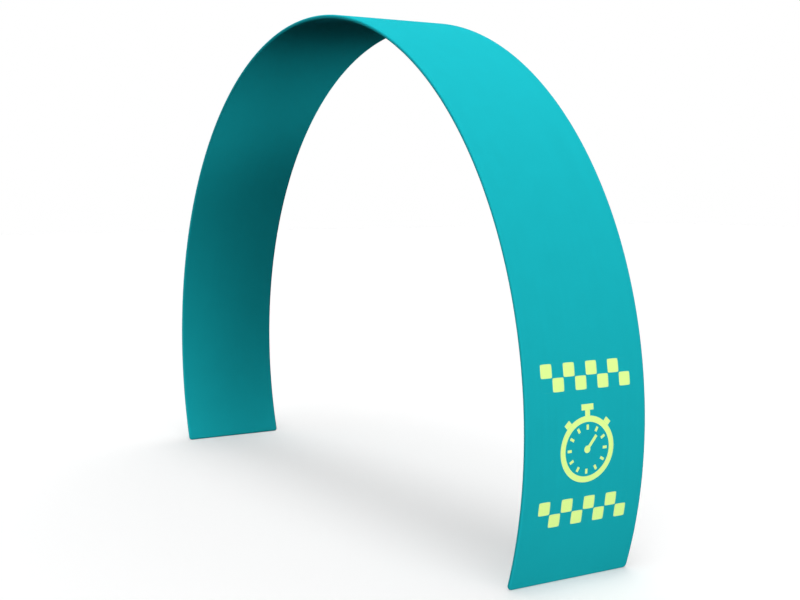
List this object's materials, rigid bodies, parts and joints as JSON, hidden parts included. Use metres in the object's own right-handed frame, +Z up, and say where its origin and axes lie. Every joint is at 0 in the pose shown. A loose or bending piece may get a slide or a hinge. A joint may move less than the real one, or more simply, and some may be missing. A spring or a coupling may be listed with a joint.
{
  "type": "fabric arch display stand with bent-tube frame",
  "caption": "Walk-through arch: a stretch-fabric cover pulled flat and round-edged over a slim bent-tube frame, standing on the floor.",
  "frame": {"origin": "on the floor, under the middle of the arch", "axes": "+X across the passage towards the right leg, +Y the way through from front to back, +Z up"},
  "size_m": [3.6576, 0.6096, 2.4384],
  "materials": {
    "fabric_outer": "matte",
    "fabric_inner": "matte",
    "frame_tube": "satin"
  },
  "bodies": {
    "root": {"outer_panel": "fabric_outer", "inner_panel": "fabric_inner", "hoop_front_left_leg": "frame_tube", "hoop_front_left_shoulder": "frame_tube", "hoop_front_right_shoulder": "frame_tube", "hoop_front_right_leg": "frame_tube", "hoop_back_left_leg": "frame_tube", "hoop_back_left_shoulder": "frame_tube", "hoop_back_right_shoulder": "frame_tube", "hoop_back_right_leg": "frame_tube", "foot_bar_left": "frame_tube", "foot_bar_right": "frame_tube", "spreader_crown": "frame_tube", "spreader_left": "frame_tube", "spreader_right": "frame_tube"}
  },
  "joints": []
}
